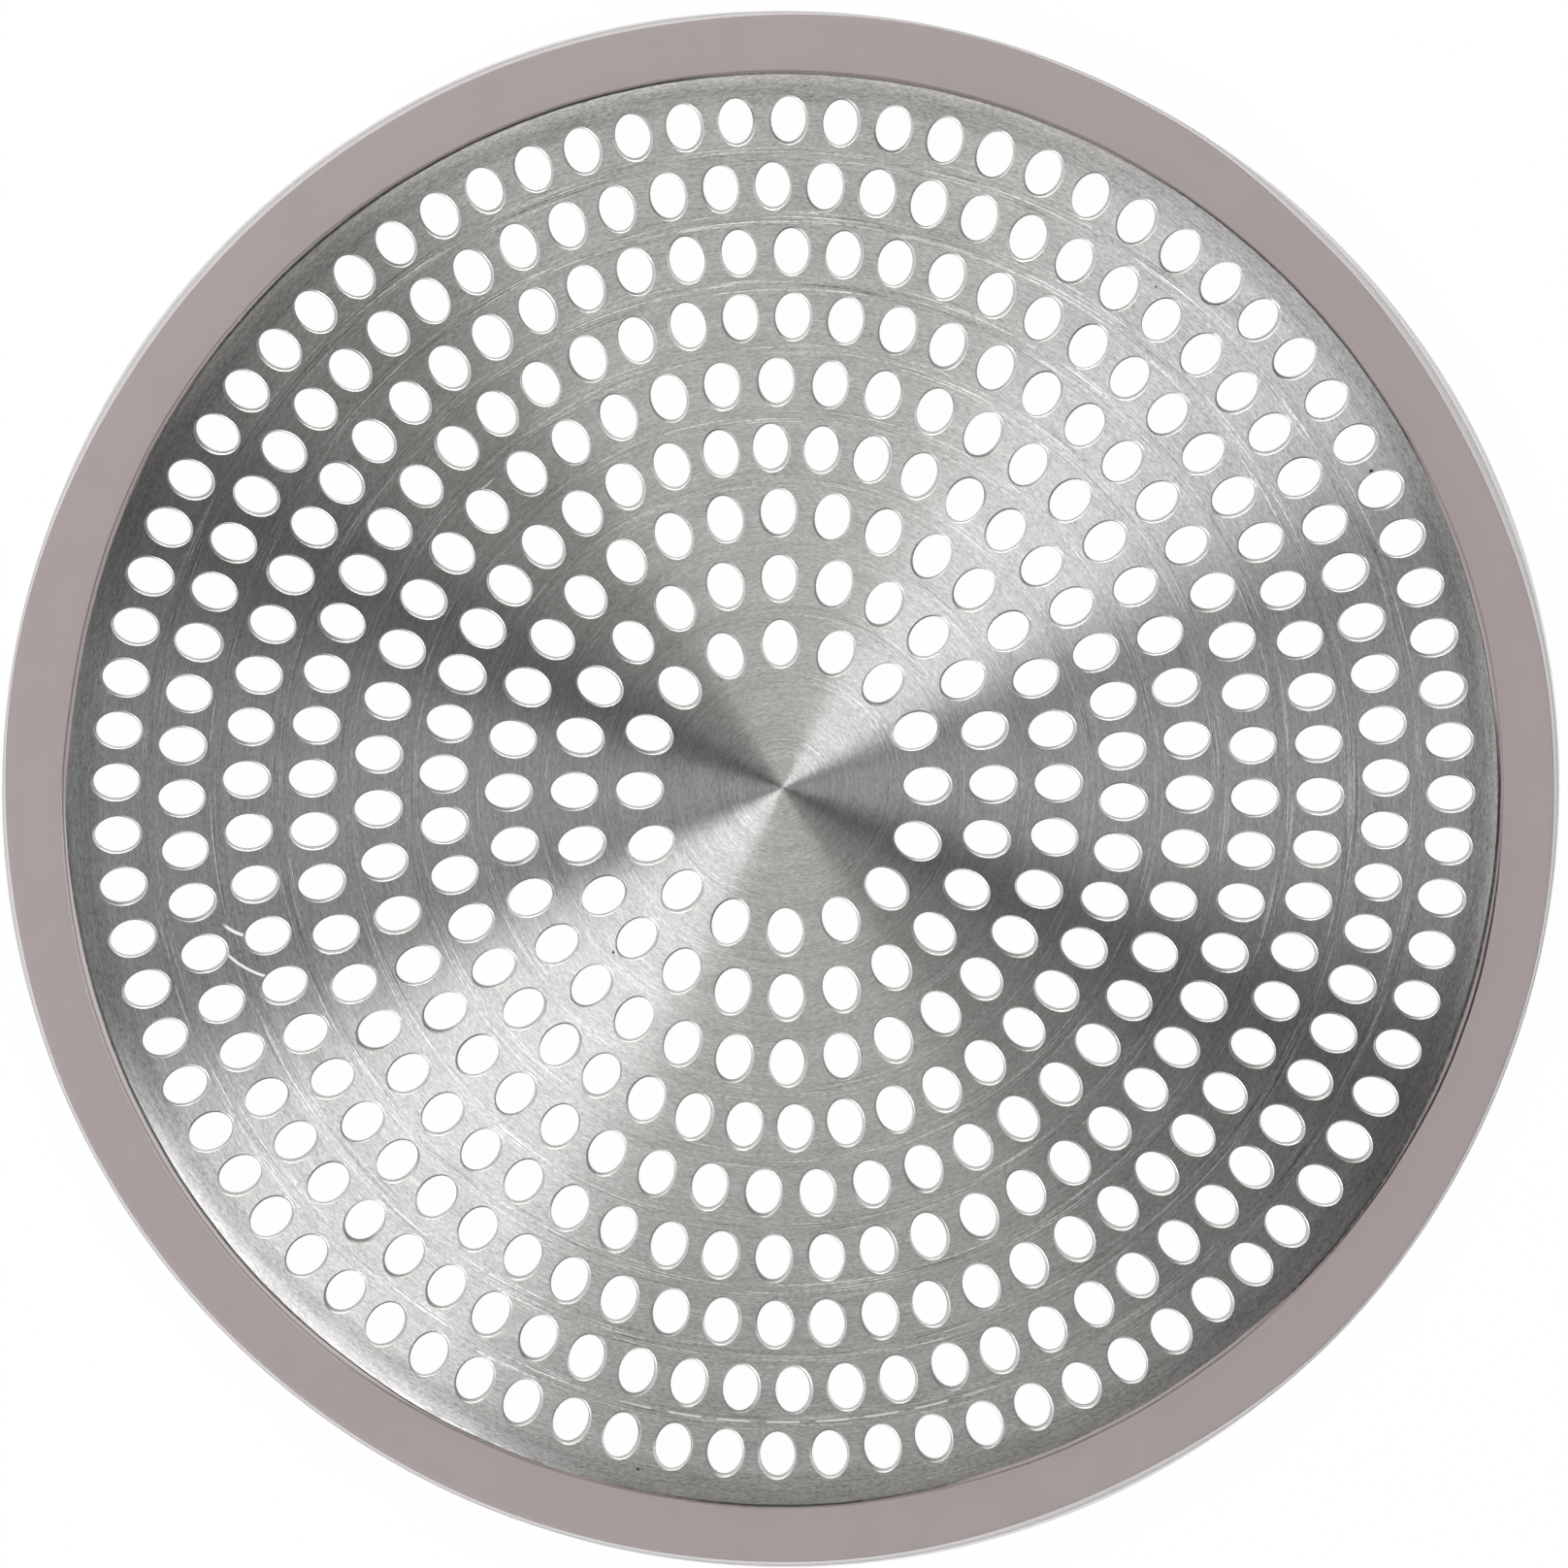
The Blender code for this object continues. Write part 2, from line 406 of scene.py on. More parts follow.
def brushed_steel():
    """Stainless steel with fine scratches that run in circles round the plate's centre."""
    made = bpy.data.materials.new("brushed_steel")
    made.use_nodes = True
    steel = Nodes(made.node_tree)
    where = steel.node("ShaderNodeTexCoord", out="Object")
    x, y, _ = steel.apart(where)
    radius = (x * x + y * y) ** 0.5
    turn = y.maths("ARCTAN2", y, x) * (180 / pi)
    turn = turn.maths("FLOORED_MODULO", turn, 360.0)

    def streaks(width, length, detail, shift=0.0):
        """Noise from 0 to 1 in arcs of about this width and length."""
        along = steel.together(radius / width + shift, x / length + shift, y / length - shift)
        return steel.noise(along, detail)

    def narrow(distance, width):
        """1 within half the width, falling to 0 at twice that."""
        return 1 - steel.ease(abs(distance), width / 2, width)

    hairlines = streaks(HAIRLINE_WIDTH, HAIRLINE_LENGTH, 2.0)
    tone = 0.5 + (hairlines - 0.5) * HAIRLINE_TONE
    tone = tone + (streaks(STREAK_WIDTH, STREAK_LENGTH, 2.0, shift=5.0) - 0.5) * STREAK_TONE
    tone = tone + (streaks(BAND_WIDTH, BAND_LENGTH, 2.0, shift=9.0) - 0.5) * BAND_TONE
    tone = tone + (steel.noise(where, 1.0, 1 / GRAIN_SIZE) - 0.5) * GRAIN_TONE

    # Between the rings no hole breaks the strokes, and they score deeper, most of all further out
    wave = (((radius - FIRST_RING) / RING_PITCH + 0.5) * tau).cosine()
    between = steel.ease(wave, *BETWEEN_RINGS) * (radius < LAST_RING)
    scores = steel.ease(streaks(SCORE_WIDTH, SCORE_LENGTH, 1.0, shift=13.0), *SCORE_LEVELS)
    gouges = steel.ease(streaks(SCORE_WIDTH, SCORE_LENGTH, 1.0, shift=17.0), *SCORE_LEVELS)
    outer = steel.ease(radius, INNER_SCORES, OUTER_SCORES)
    dashes = steel.ease(hairlines, *DASH_LEVELS)
    scored = scores * (SCORE_TONE + dashes * DASHED_SCORE_TONE) - gouges * GOUGE_TONE
    tone = tone + scored * (SCORES_ANYWHERE + between * (SCORES_BETWEEN + outer * SCORES_FURTHER_OUT))

    strokes = steel.ease((turn * (tau / STROKE_DEG)).cosine(), *STROKE_LEVELS)
    # The last of these is a painted highlight on the margin by the rim's lip
    for line, start, end, bright in TURNED_LINES_AND_GLINT:
        begun = steel.ease(turn, start, start + LINE_FADE_DEG)
        ended = steel.ease(turn, end - LINE_FADE_DEG, end)
        reach = begun * (1 - ended)
        tone = tone + narrow(radius - line * MM, LINE_WIDTH) * reach * strokes * bright
    raw = 0.0
    for middle_x, middle_y, length, width, bow, angle, bright in SCRATCHES:
        right = x - middle_x * MM
        up = y - middle_y * MM
        along = right * cos(radians(angle)) + up * sin(radians(angle))
        across = up * cos(radians(angle)) - right * sin(radians(angle))
        across = across + (0.5 - (along / (length * 0.5 * MM)) ** 2.0) * bow * MM
        raw = raw + narrow(across, width * MM) * narrow(along, length * SCRATCH_REACH * MM) * bright
    specks = 0.0
    for middle_x, middle_y, size in SPECKS:
        away = ((x - middle_x * MM) ** 2.0 + (y - middle_y * MM) ** 2.0) ** 0.5
        specks = specks + narrow(away, size * SPECK_REACH * MM)

    tone = tone - steel.ease(radius, *OUTER_DUSK_REACH) * OUTER_DUSK
    # Painted shade in the border up to the rim's lip; the border is also rougher
    border = steel.ease(radius, *BORDER_BEGINS) * (1 - steel.ease(radius, *BORDER_ENDS))
    tone = tone - border * BORDER_PAINTED_SHADE
    colour = steel.blend(tone.within(*TONE_LIMITS), STEEL_DARK, STEEL_PALE)
    colour = steel.blend(raw, colour, BARE_SCRATCH)
    colour = steel.blend(specks, colour, SPECK_BLACK)
    normal = steel.node("ShaderNodeBump", {}, {
        "Strength": 1.0, "Distance": HAIRLINE_DEPTH, "Height": hairlines})
    shader = steel.node("ShaderNodeBsdfPrincipled", {}, {
        "Base Color": colour, "Metallic": 1 - raw,
        "Roughness": (BRUSH_ROUGHNESS + (hairlines - 0.5) * ROUGHNESS_SPREAD
                      + border * BORDER_ROUGHER),
        "Anisotropic": BRUSH_ANISOTROPY, "Anisotropic Rotation": 0.25, "Normal": normal})
    steel.node("ShaderNodeOutputMaterial", {}, {"Surface": shader})
    return made


SHEARED_DEPTH = 0.36 * MM       # below the plate's top, where the burnished wall breaks off
EDGE_GRAIN = 0.25 * MM
EDGE_DARK = (0.60, 0.595, 0.585, 1.0)
EDGE_PALE = (0.84, 0.835, 0.82, 1.0)
EDGE_PAINTED_SHADE = (0.28, 0.278, 0.272, 1.0)
EDGE_SHEARED_AND_SHADE = (0.12, 0.12, 0.12, 1.0)
SHADE_GRAIN = 0.8                # how far the grain breaks up the change from bright to painted shade
SHADE_LEVELS = (-0.3, 0.7)       # 1 faces the side with painted shade and -1 faces away from it
EDGE_METALLIC = 0.55
EDGE_ROUGHNESS = 0.30
EDGE_ROUGHNESS_SPREAD = 0.12


def punched_steel():
    """The burnished rolled edge and wall of each hole, with painted shade on one side of each lining,
    and the rough dark break at its foot.
    """
    made = bpy.data.materials.new("punched_steel")
    made.use_nodes = True
    steel = Nodes(made.node_tree)
    where = steel.node("ShaderNodeTexCoord", out="Object")
    grain = steel.noise(where, 2.0, 1 / EDGE_GRAIN)
    _, _, height = steel.apart(where)
    sheared = height < PLATE_TOP - SHEARED_DEPTH
    dull = steel.node("ShaderNodeAttribute", {"attribute_name": "dull"}, out="Fac")
    dull = steel.ease(dull + (grain - 0.5) * SHADE_GRAIN, *SHADE_LEVELS)
    colour = steel.blend(grain, EDGE_DARK, EDGE_PALE)
    # Painted shade on one side of each lining
    colour = steel.blend(dull, colour, EDGE_PAINTED_SHADE)
    # The rough break at the foot is painted near black: partly its own dull colour, partly painted shade
    # inside the hole
    colour = steel.blend(sheared, colour, EDGE_SHEARED_AND_SHADE)
    shader = steel.node("ShaderNodeBsdfPrincipled", {}, {
        "Base Color": colour, "Metallic": EDGE_METALLIC,
        "Roughness": EDGE_ROUGHNESS + grain * EDGE_ROUGHNESS_SPREAD})
    steel.node("ShaderNodeOutputMaterial", {}, {"Surface": shader})
    return made


def made_plain(host, name):
    """The host as its modifiers leave it, as a plain closed mesh with its faces pointing out."""
    mesh = bpy.data.meshes.new_from_object(host.evaluated_get(bpy.context.evaluated_depsgraph_get()))
    host.modifiers.clear()
    bpy.data.objects.remove(host)
    tidy = bmesh.new()
    tidy.from_mesh(mesh)
    bmesh.ops.recalc_face_normals(tidy, faces=tidy.faces)
    tidy.to_mesh(mesh)
    tidy.free()
    plain = bpy.data.objects.new(name, mesh)
    bpy.context.scene.collection.objects.link(plain)
    return plain


plate_inputs = {
    "Hole Centres": ("NodeSocketGeometry", None),
    "Top": ("NodeSocketFloat", PLATE_TOP),
    "Sheet": ("NodeSocketFloat", SHEET),
    "Flat Radius": ("NodeSocketFloat", FLAT_RADIUS),
    "Plate Radius": ("NodeSocketFloat", PLATE_RADIUS),
    "Margin Fall": ("NodeSocketFloat", MARGIN_FALL),
    "Hole Length": ("NodeSocketFloat", HOLE_LENGTH),
    "Hole Width": ("NodeSocketFloat", HOLE_WIDTH),
    "Rolled Edge": ("NodeSocketFloat", ROLLED_EDGE),
    "Burr": ("NodeSocketFloat", BURR),
    "Size Spread": ("NodeSocketFloat", HOLE_SIZE_SPREAD),
    "Punch Lean": ("NodeSocketFloat", PUNCH_LEAN),
    "Slant X": ("NodeSocketFloat", PUNCH_SLANT[0]),
    "Slant Y": ("NodeSocketFloat", PUNCH_SLANT[1]),
    "Roll Drag": ("NodeSocketFloat", ROLL_DRAG),
    "Dull Side": ("NodeSocketFloat", SHADED_SIDE),
    "Shaded Side Spread": ("NodeSocketFloat", SHADED_SIDE_SPREAD),
    "Seed": ("NodeSocketInt", PLATE_SEED),
    "Brushed Face": ("NodeSocketMaterial", brushed_steel()),
    "Punched Edge": ("NodeSocketMaterial", punched_steel()),
}
blank = bpy.data.objects.new("blank", hole_centres())
bpy.context.scene.collection.objects.link(blank)
punching = blank.modifiers.new("punching", "NODES")
punching.node_group = punching_tree(plate_inputs)
for item in punching.node_group.interface.items_tree:
    if item.in_out == "INPUT" and plate_inputs[item.name][1] is not None:
        punching[item.identifier] = plate_inputs[item.name][1]
plate = made_plain(blank, "perforated_plate")
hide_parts("strainer_plate")
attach(plate, "root")


# The silicone rim
# One soft ring moulded in grey-mauve silicone. It is stretched on by hand, so that its lip and its
# outer wall wander a little, and it holds the plate's edge in the groove on its inside.

_, rim_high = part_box("silicone_rim")
RIM_RADIUS = rim_high.x
RIM_OFF_CENTRE = Vector((-0.23 * MM, 0.0))
LIP_UNDER = PLATE_TOP - 0.13 * MM
LEDGE_TOP = PLATE_TOP - 0.09 * MM
LIP_TOP = PLATE_TOP + 0.20 * MM
FACE_TOP = PLATE_TOP + 0.10 * MM
LIP_NOSE = 0.14 * MM
NOSE_ARC = (170, 85)
LIP_WAVER = 0.02 * MM
WAVES_ROUND = (41, 97)
SOFT_EDGE = 0.03 * MM         # over which one tone at the lip changes to the next
SHOULDER = 0.15 * MM
SHOULDER_ARC = (85, 40)
SHOULDER_STEPS = 2
PARTING_AT = 0.5              # of the wall's lean, from its top to the foot
PARTING_HEIGHT = 3.3 * MM
PARTING_FLASH = 0.08 * MM     # how far the thin flash stands out
FLASH_THICKNESS = 0.10 * MM
FOOT_EDGE = 0.3 * MM
LOWER_LIP = 65.7 * MM
ROOM_OUTSIDE = 0.3 * MM       # between the plate's edge and the groove
ROOM_BELOW = 0.05 * MM
ROOM_ABOVE = 0.06 * MM
GROOVE_RADIUS = PLATE_RADIUS + ROOM_OUTSIDE
GROOVE_FLOOR = PLATE_TOP - MARGIN_FALL - SHEET - ROOM_BELOW
GROOVE_ROOF = PLATE_TOP - MARGIN_FALL + ROOM_ABOVE
RIM_SIDES = 360
FACE_STEPS = 10
CORNER_STEPS = 4
CREASE_DEG = 50
# Round the ring, at angles in degrees: where the lip's edge lies, how wide the gap, the thin flap and
# the fold behind it look, how far the foot spreads and how far the wall leans in above it, all in
# millimetres
LIP_EDGE = ((0, 67.02), (10, 66.97), (32, 66.91), (60, 66.89), (90, 66.90), (120, 66.98),
            (150, 66.95), (170, 66.78), (184, 67.11), (192, 67.13), (202, 67.23), (225, 67.34),
            (232, 67.32), (240, 67.40), (248, 67.28), (258, 67.04), (270, 67.14), (290, 66.90),
            (305, 66.88), (322, 67.02), (345, 67.02))
GAP_WIDTH = ((0, 0.21), (26, 0.21), (34, 0.15), (118, 0.15), (126, 0.21), (178, 0.21), (185, 0.16),
             (235, 0.16), (242, 0.10), (250, 0.10), (258, 0.21))
FOLD_WIDTH = ((0, 0.13), (26, 0.13), (34, 0.05), (116, 0.05), (130, 0.10), (176, 0.08), (186, 0.13),
              (234, 0.13), (241, 0.05), (284, 0.05), (292, 0.13), (326, 0.13), (336, 0.20),
              (346, 0.20), (354, 0.13))
FLAP_WIDTH = ((0, 0.05), (14, 0.12), (28, 0.04), (125, 0.04), (140, 0.12), (170, 0.08), (184, 0.12),
              (195, 0.32), (232, 0.20), (241, 0.04), (270, 0.04), (290, 0.08), (305, 0.08),
              (320, 0.05), (341, 0.29), (350, 0.20), (356, 0.10))
FOOT_SPREAD = ((25, 0.40), (80, 0.02), (115, 0.28), (170, 0.12), (192, 0.35), (250, 0.22), (298, 0.50),
               (342, 0.20))
WALL_LEAN = ((5, 0.85), (28, 1.48), (45, 1.25), (60, 0.62), (78, 0.38), (102, 0.90), (145, 1.02),
             (171, 0.45), (190, 0.76), (205, 0.60), (240, 0.64), (270, 0.80), (294, 1.10), (318, 0.40),
             (342, 0.58))
# How dark or pale the gap at the lip's edge, the flap and the fold behind it look, in painted shade and
# painted highlight: 0 is black, 0.5 the rim's own colour and 1 the palest
GAP_TONE = ((0, 0.05), (4, 0.25), (8, 0.66), (14, 0.60), (22, 0.52), (30, 0.08), (48, 0.0),
            (66, 0.32), (92, 0.36), (101, 0.05), (130, 0.05), (150, 0.20), (160, 0.40), (176, 0.46),
            (184, 0.16), (200, 0.22), (225, 0.36), (233, 0.84), (240, 0.88), (246, 0.74), (252, 0.58),
            (258, 0.25), (270, 0.0), (281, 0.15), (287, 0.53), (309, 0.54), (317, 0.05), (335, 0.16),
            (352, 0.10))
FLAP_TONE = ((0, 0.45), (126, 0.50), (140, 0.62), (152, 0.50), (178, 0.50), (185, 0.80), (195, 0.86),
             (228, 0.86), (240, 0.52), (300, 0.50), (325, 0.30), (342, 0.45))
FOLD_TONE = ((0, 0.50), (14, 0.42), (30, 0.50), (180, 0.50), (190, 0.72), (232, 0.72), (240, 0.50),
             (282, 0.50), (290, 0.32), (308, 0.28), (316, 0.45), (323, 0.10), (328, 0.0), (351, 0.0),
             (357, 0.40))
# The same tone down the outer wall, where it is painted light that makes the wall pale, and by how much
# the face is paler away from the lip, painted shade along the lip
WALL_TONE_UPPER = 0.85
WALL_TONE_PARTING = 0.60
WALL_TONE_LOWER = 1.0
OWN_TONE = 0.5
FACE_GLOW = 0.024
FACE_GLOW_WIDTH = 1.8 * MM


def round_the_ring(stops, turn):
    """The value at this turn, easing from each stop to the next round the ring."""
    degrees = turn * 180 / pi % 360
    ring = [(stops[-1][0] - 360, stops[-1][1]), *stops, (stops[0][0] + 360, stops[0][1])]
    for (start, before), (end, after) in zip(ring, ring[1:]):
        if start <= degrees < end:
            share = (1 - cos(pi * (degrees - start) / (end - start))) / 2
            return before + (after - before) * share


def corner(radius, height, size, start, end, steps=CORNER_STEPS):
    """Points of a round corner about (radius, height), from one angle to the other in degrees."""
    return [(radius + size * cos(radians(start + (end - start) * step / steps)),
             height + size * sin(radians(start + (end - start) * step / steps)))
            for step in range(steps + 1)]


def lip_lines(turn):
    """The lip's thin edge as seen from above: the gap, the flap and the fold, painted as bands of shade
    and highlight on one low ledge.
    """
    slow, quick = WAVES_ROUND
    waver = LIP_WAVER * (sin(slow * turn) + sin(quick * turn + 1)) / 2
    edge = round_the_ring(LIP_EDGE, turn) * MM + waver
    gap_tone = round_the_ring(GAP_TONE, turn)
    flap_tone = round_the_ring(FLAP_TONE, turn)
    fold_tone = round_the_ring(FOLD_TONE, turn)
    gap = edge + round_the_ring(GAP_WIDTH, turn) * MM
    flap = gap + round_the_ring(FLAP_WIDTH, turn) * MM
    fold = flap + round_the_ring(FOLD_WIDTH, turn) * MM
    return [
        (edge, LIP_UNDER, gap_tone),
        (edge, LEDGE_TOP, gap_tone),
        (gap - SOFT_EDGE, LEDGE_TOP, gap_tone),
        (gap, LEDGE_TOP, flap_tone),
        (flap - SOFT_EDGE, LEDGE_TOP, flap_tone),
        (flap, LEDGE_TOP, fold_tone),
        (fold - SOFT_EDGE, LEDGE_TOP, fold_tone),
        (fold, LEDGE_TOP, max(OWN_TONE, flap_tone)),
    ]


def rim_section(turn):
    """The rim cut through at this turn: radius, height and tone, from the lip's edge over the face."""
    lines = lip_lines(turn)
    lip = lines[-1][0]
    wall = RIM_RADIUS + RIM_OFF_CENTRE.x * cos(turn) + round_the_ring(FOOT_SPREAD, turn) * MM
    shoulder = wall - round_the_ring(WALL_LEAN, turn) * MM - SHOULDER
    face = corner(lip + LIP_NOSE, LIP_TOP - LIP_NOSE, LIP_NOSE, *NOSE_ARC)
    start = face[-1][0]
    for step in range(1, FACE_STEPS):
        along = step / FACE_STEPS
        face.append((start + along * (shoulder - start),
                     FACE_TOP + (LIP_TOP - FACE_TOP) * (1 - along) ** 3))
    face += corner(shoulder, FACE_TOP - SHOULDER, SHOULDER, *SHOULDER_ARC, SHOULDER_STEPS)
    wall_top = shoulder + SHOULDER
    parting = wall_top + (wall - wall_top) * PARTING_AT
    below = corner(wall - FOOT_EDGE, FOOT_EDGE, FOOT_EDGE, 0, -90)
    # The face is painted lighter away from the lip, so that it has painted shade along the lip
    face = [(radius, height, OWN_TONE + FACE_GLOW * min(1.0, (radius - lip) / FACE_GLOW_WIDTH))
            for radius, height in face]
    # The lip's nose carries on the tone of the last line before it, never darker than the rim's own
    # colour, painted light over the shade on its inward face
    nose = lines[-1][2]
    face[:CORNER_STEPS] = [(radius, height, nose) for radius, height, _ in face[:CORNER_STEPS]]
    return lines + face + [
        # The outer wall's tone paints light on it, paler than the face
        (wall_top, FACE_TOP - SHOULDER * 1.5, WALL_TONE_UPPER),
        (parting, PARTING_HEIGHT + FLASH_THICKNESS * 1.5, WALL_TONE_UPPER),
        (parting + PARTING_FLASH, PARTING_HEIGHT + FLASH_THICKNESS / 2, WALL_TONE_PARTING),
        (parting + PARTING_FLASH, PARTING_HEIGHT - FLASH_THICKNESS / 2, WALL_TONE_PARTING),
        (parting, PARTING_HEIGHT - FLASH_THICKNESS * 1.5, WALL_TONE_LOWER),
        *[(*point, WALL_TONE_LOWER) for point in below],
        (LOWER_LIP + FOOT_EDGE, 0.0, OWN_TONE),
        (LOWER_LIP, FOOT_EDGE, OWN_TONE),
        (LOWER_LIP, GROOVE_FLOOR, OWN_TONE),
        (GROOVE_RADIUS, GROOVE_FLOOR, OWN_TONE),
        (GROOVE_RADIUS, GROOVE_ROOF, OWN_TONE),
    ]


SILICONE_DARK = (0.314, 0.270, 0.273, 1.0)
SILICONE_PALE = (0.363, 0.313, 0.316, 1.0)
SILICONE_SHADE = (0.03, 0.028, 0.028, 1.0)
# The pale colour of the painted light on the lip's lines, the face and the wall
SILICONE_GLOW = (0.86, 0.84, 0.84, 1.0)
FACE_ROUGHNESS = 0.5
WALL_ROUGHNESS = 0.15
WALL_PALE = 0.45
WALL_COAT_IOR = 1.6
SILICONE_IOR = 1.43
CLOUD_SIZE = 6 * MM
CLOUD_SHARE = 0.7             # of the colour's mottling, the rest being the fine grain
FACE_GRAIN = 0.2 * MM
GRAIN_DEPTH = 0.004 * MM
BROKEN_SIZE = 0.45 * MM       # of the breaks in the dark lines at the lip
SHADE_LEAST = 0.60
SHADE_BROKEN = 1.1


def satin_silicone():
    """Grey-mauve silicone, cloudy and with a fine matt grain on its face, smoother down its wall.

    The tone paints shade into the lines at the lip, and paints light onto the lip's pale lines, the face
    away from the lip and the wall, which it also makes glossier than the face.
    """
    made = bpy.data.materials.new("satin_silicone")
    made.use_nodes = True
    silicone = Nodes(made.node_tree)
    where = silicone.node("ShaderNodeTexCoord", out="Object")
    cloud = silicone.noise(where, 3.0, 1 / CLOUD_SIZE)
    grain = silicone.noise(where, 2.0, 1 / FACE_GRAIN)
    broken = silicone.noise(where, 1.0, 1 / BROKEN_SIZE)
    tone = silicone.node("ShaderNodeAttribute", {"attribute_name": "tone"}, out="Fac")
    shade = ((OWN_TONE - tone) * 2 * (SHADE_LEAST + broken * SHADE_BROKEN)).within(0.0, 1.0)
    glow = ((tone - OWN_TONE) * 2).within(0.0, 1.0)
    normal = silicone.node("ShaderNodeBump", {}, {
        "Strength": 1.0, "Distance": GRAIN_DEPTH, "Height": grain})
    mottling = cloud * CLOUD_SHARE + grain * (1 - CLOUD_SHARE)
    colour = silicone.blend(mottling, SILICONE_DARK, SILICONE_PALE)
    colour = silicone.blend(glow * WALL_PALE, colour, SILICONE_GLOW)
    shader = silicone.node("ShaderNodeBsdfPrincipled", {}, {
        "Base Color": silicone.blend(shade, colour, SILICONE_SHADE),
        "Roughness": FACE_ROUGHNESS + (WALL_ROUGHNESS - FACE_ROUGHNESS) * glow,
        "IOR": SILICONE_IOR, "Coat Weight": glow, "Coat Roughness": WALL_ROUGHNESS,
        "Coat IOR": WALL_COAT_IOR, "Normal": normal})
    silicone.node("ShaderNodeOutputMaterial", {}, {"Surface": shader})
    return made


def moulded_rim():
    """The rim's closed mesh, one section after another round the ring."""
    shape = bmesh.new()
    toned = shape.verts.layers.float.new("tone")
    rings = []
    for side in range(RIM_SIDES):
        turn = tau * side / RIM_SIDES
        ring = []
        for radius, height, tone in rim_section(turn):
            ring.append(shape.verts.new((radius * cos(turn), radius * sin(turn), height)))
            ring[-1][toned] = tone
        rings.append(ring)
    for here, there in zip(rings, rings[1:] + rings[:1]):
        for index in range(len(here)):
            shape.faces.new((here[index - 1], here[index], there[index], there[index - 1]))
    bmesh.ops.recalc_face_normals(shape, faces=shape.faces)
    mesh = bpy.data.meshes.new("soft_rim")
    shape.to_mesh(mesh)
    shape.free()
    mesh.materials.append(satin_silicone())
    mesh.shade_smooth()
    mesh.set_sharp_from_angle(angle=radians(CREASE_DEG))
    return mesh


rim = bpy.data.objects.new("soft_rim", moulded_rim())
bpy.context.scene.collection.objects.link(rim)
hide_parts("silicone_rim")
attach(rim, "root")


# The floor
# A plain white floor under the strainer. It looks white to the camera and in reflections, and keeps
# a faint shadow.

FLOOR_SIZE = 6.0
FLOOR_WHITE = (0.9, 0.9, 0.9, 1.0)
FLOOR_OWN_WHITE = 0.98
FLOOR_GAP = 0.05 * MM

floor_shape = bmesh.new()
bmesh.ops.create_grid(floor_shape, x_segments=1, y_segments=1, size=FLOOR_SIZE / 2)
floor_mesh = bpy.data.meshes.new("floor")
floor_shape.to_mesh(floor_mesh)
floor_shape.free()
floor_material = bpy.data.materials.new("white_floor")
floor_material.use_nodes = True
paint = Nodes(floor_material.node_tree)
ray = paint.node("ShaderNodeLightPath")
seen = ray.out("Is Camera Ray").maths("MAXIMUM", ray.out("Is Camera Ray"), ray.out("Is Glossy Ray"))
seen = seen.maths("MAXIMUM", seen, ray.out("Is Transmission Ray"))
white = paint.node("ShaderNodeMixShader", {}, {
    "Fac": seen * FLOOR_OWN_WHITE,
    1: paint.node("ShaderNodeBsdfDiffuse", {}, {"Color": FLOOR_WHITE}),
    2: paint.node("ShaderNodeEmission", {}, {"Color": (1.0, 1.0, 1.0, 1.0), "Strength": 1.0})})
paint.node("ShaderNodeOutputMaterial", {}, {"Surface": paint.node("ShaderNodeMixShader", {}, {
    "Fac": paint.node("ShaderNodeNewGeometry", out="Backfacing"),
    1: white,
    2: paint.node("ShaderNodeBsdfTransparent")})})
floor_mesh.materials.append(floor_material)
ground = bpy.data.objects.new("floor", floor_mesh)
ground.location.z = -FLOOR_GAP
bpy.context.scene.collection.objects.link(ground)


# The light
# A white room that is dim overhead, and large softboxes high up round the strainer. Brushed metal
# shows each of them as a streak of light through its centre.

CEILING_GREY = 0.15
HORIZON_TOP = 0.16

room = bpy.data.worlds.new("studio")
bpy.context.scene.world = room
room.use_nodes = True
air = Nodes(room.node_tree)
_, _, up = air.apart(air.node("ShaderNodeTexCoord", out="Generated"))
brightness = 1 - air.ease(up, 0.0, HORIZON_TOP) * (1 - CEILING_GREY)
air.node("ShaderNodeOutputWorld", {}, {"Surface": air.node("ShaderNodeBackground", {}, {
    "Color": (1.0, 1.0, 1.0, 1.0), "Strength": brightness})})

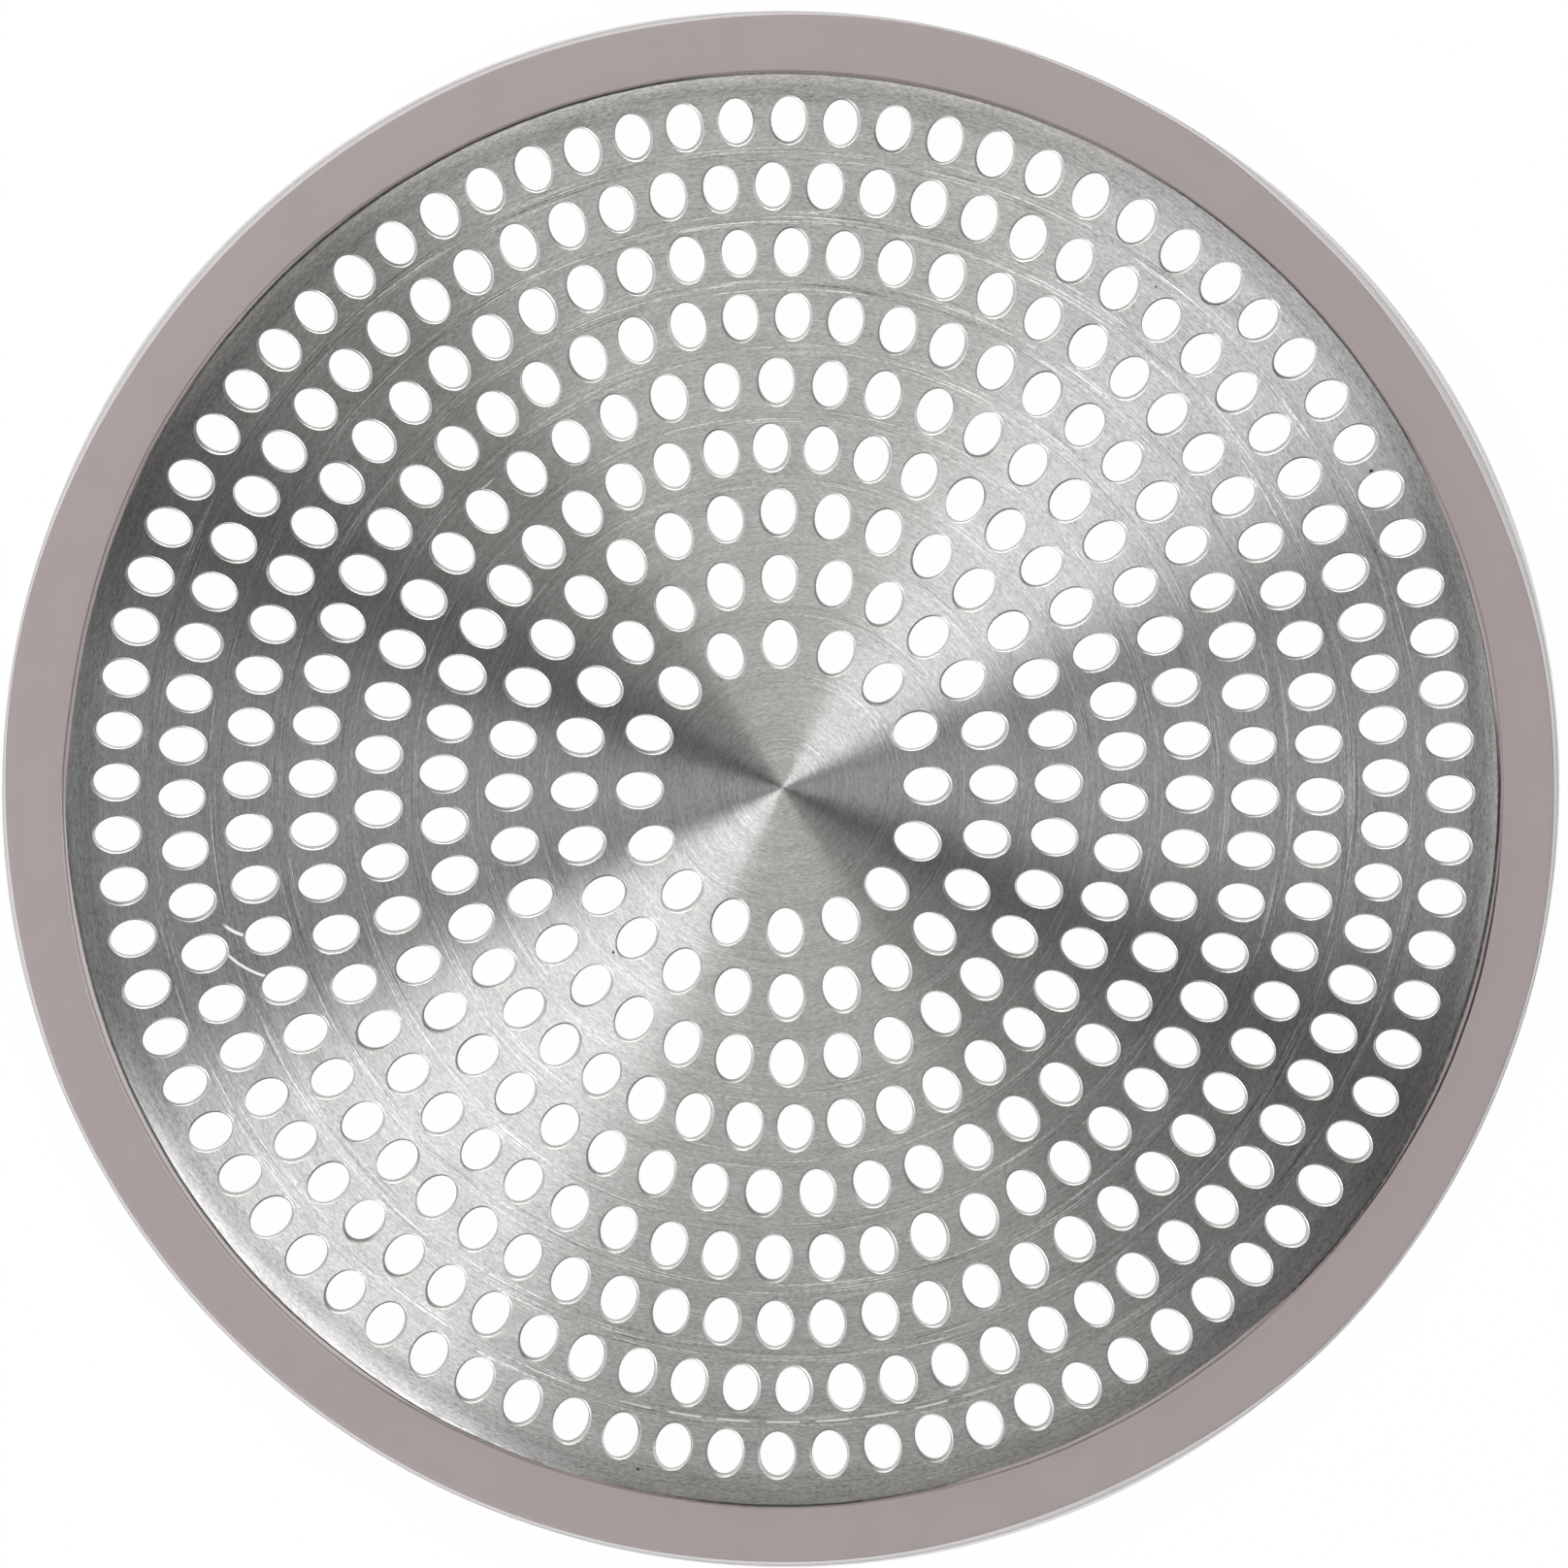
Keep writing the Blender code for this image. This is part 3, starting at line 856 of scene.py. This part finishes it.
SOFTBOX_HEIGHT_DEG = 50
PLAIN_LIGHT = (1.0, 1.0, 1.0)
WARM_LIGHT = (1.0, 0.99, 0.945)
# Name, azimuth in degrees, distance, width and height in metres, power and colour
SOFTBOXES = (
    ("key", 225.3, 1.3, 0.56, 0.40, 9.7, PLAIN_LIGHT),
    ("fill", 94.2, 0.8, 0.58, 0.25, 3.0, WARM_LIGHT),
    ("fill edge", 137, 0.8, 0.18, 0.25, 0.34, WARM_LIGHT),
    ("side", 0.5, 1.6, 0.58, 0.50, 3.75, PLAIN_LIGHT),
)
for name, azimuth, distance, width, height, power, colour in SOFTBOXES:
    box = bpy.data.lights.new(name, "AREA")
    box.shape = "RECTANGLE"
    box.size = width
    box.size_y = height
    box.energy = power
    box.color = colour
    lamp = bpy.data.objects.new(name, box)
    towards = Vector((cos(radians(azimuth)) * cos(radians(SOFTBOX_HEIGHT_DEG)),
                      sin(radians(azimuth)) * cos(radians(SOFTBOX_HEIGHT_DEG)),
                      sin(radians(SOFTBOX_HEIGHT_DEG))))
    lamp.location = towards * distance
    lamp.rotation_euler = towards.to_track_quat("Z", "Y").to_euler()
    lamp.visible_camera = False
    bpy.context.scene.collection.objects.link(lamp)


# The camera
# Straight above the strainer, a long way up with a long lens, framed as the photograph is.

SENSOR = 36.0
CAMERA_HEIGHT = 1.1
FRAME_WIDTH = 146.81 * MM
FRAME_CENTRE = (0.084 * MM, 0.353 * MM)
NEAREST_SEEN = 0.1
FURTHEST_SEEN = 20.0
camera_data = bpy.data.cameras.new("camera")
camera_data.sensor_width = SENSOR
camera_data.lens = SENSOR * CAMERA_HEIGHT / FRAME_WIDTH
camera_data.clip_start = NEAREST_SEEN
camera_data.clip_end = FURTHEST_SEEN
camera = bpy.data.objects.new("camera", camera_data)
camera.location = (*FRAME_CENTRE, PLATE_TOP + CAMERA_HEIGHT)
bpy.context.scene.collection.objects.link(camera)
bpy.context.scene.camera = camera
bpy.context.scene.view_settings.view_transform = "Standard"

bpy.context.view_layer.update()
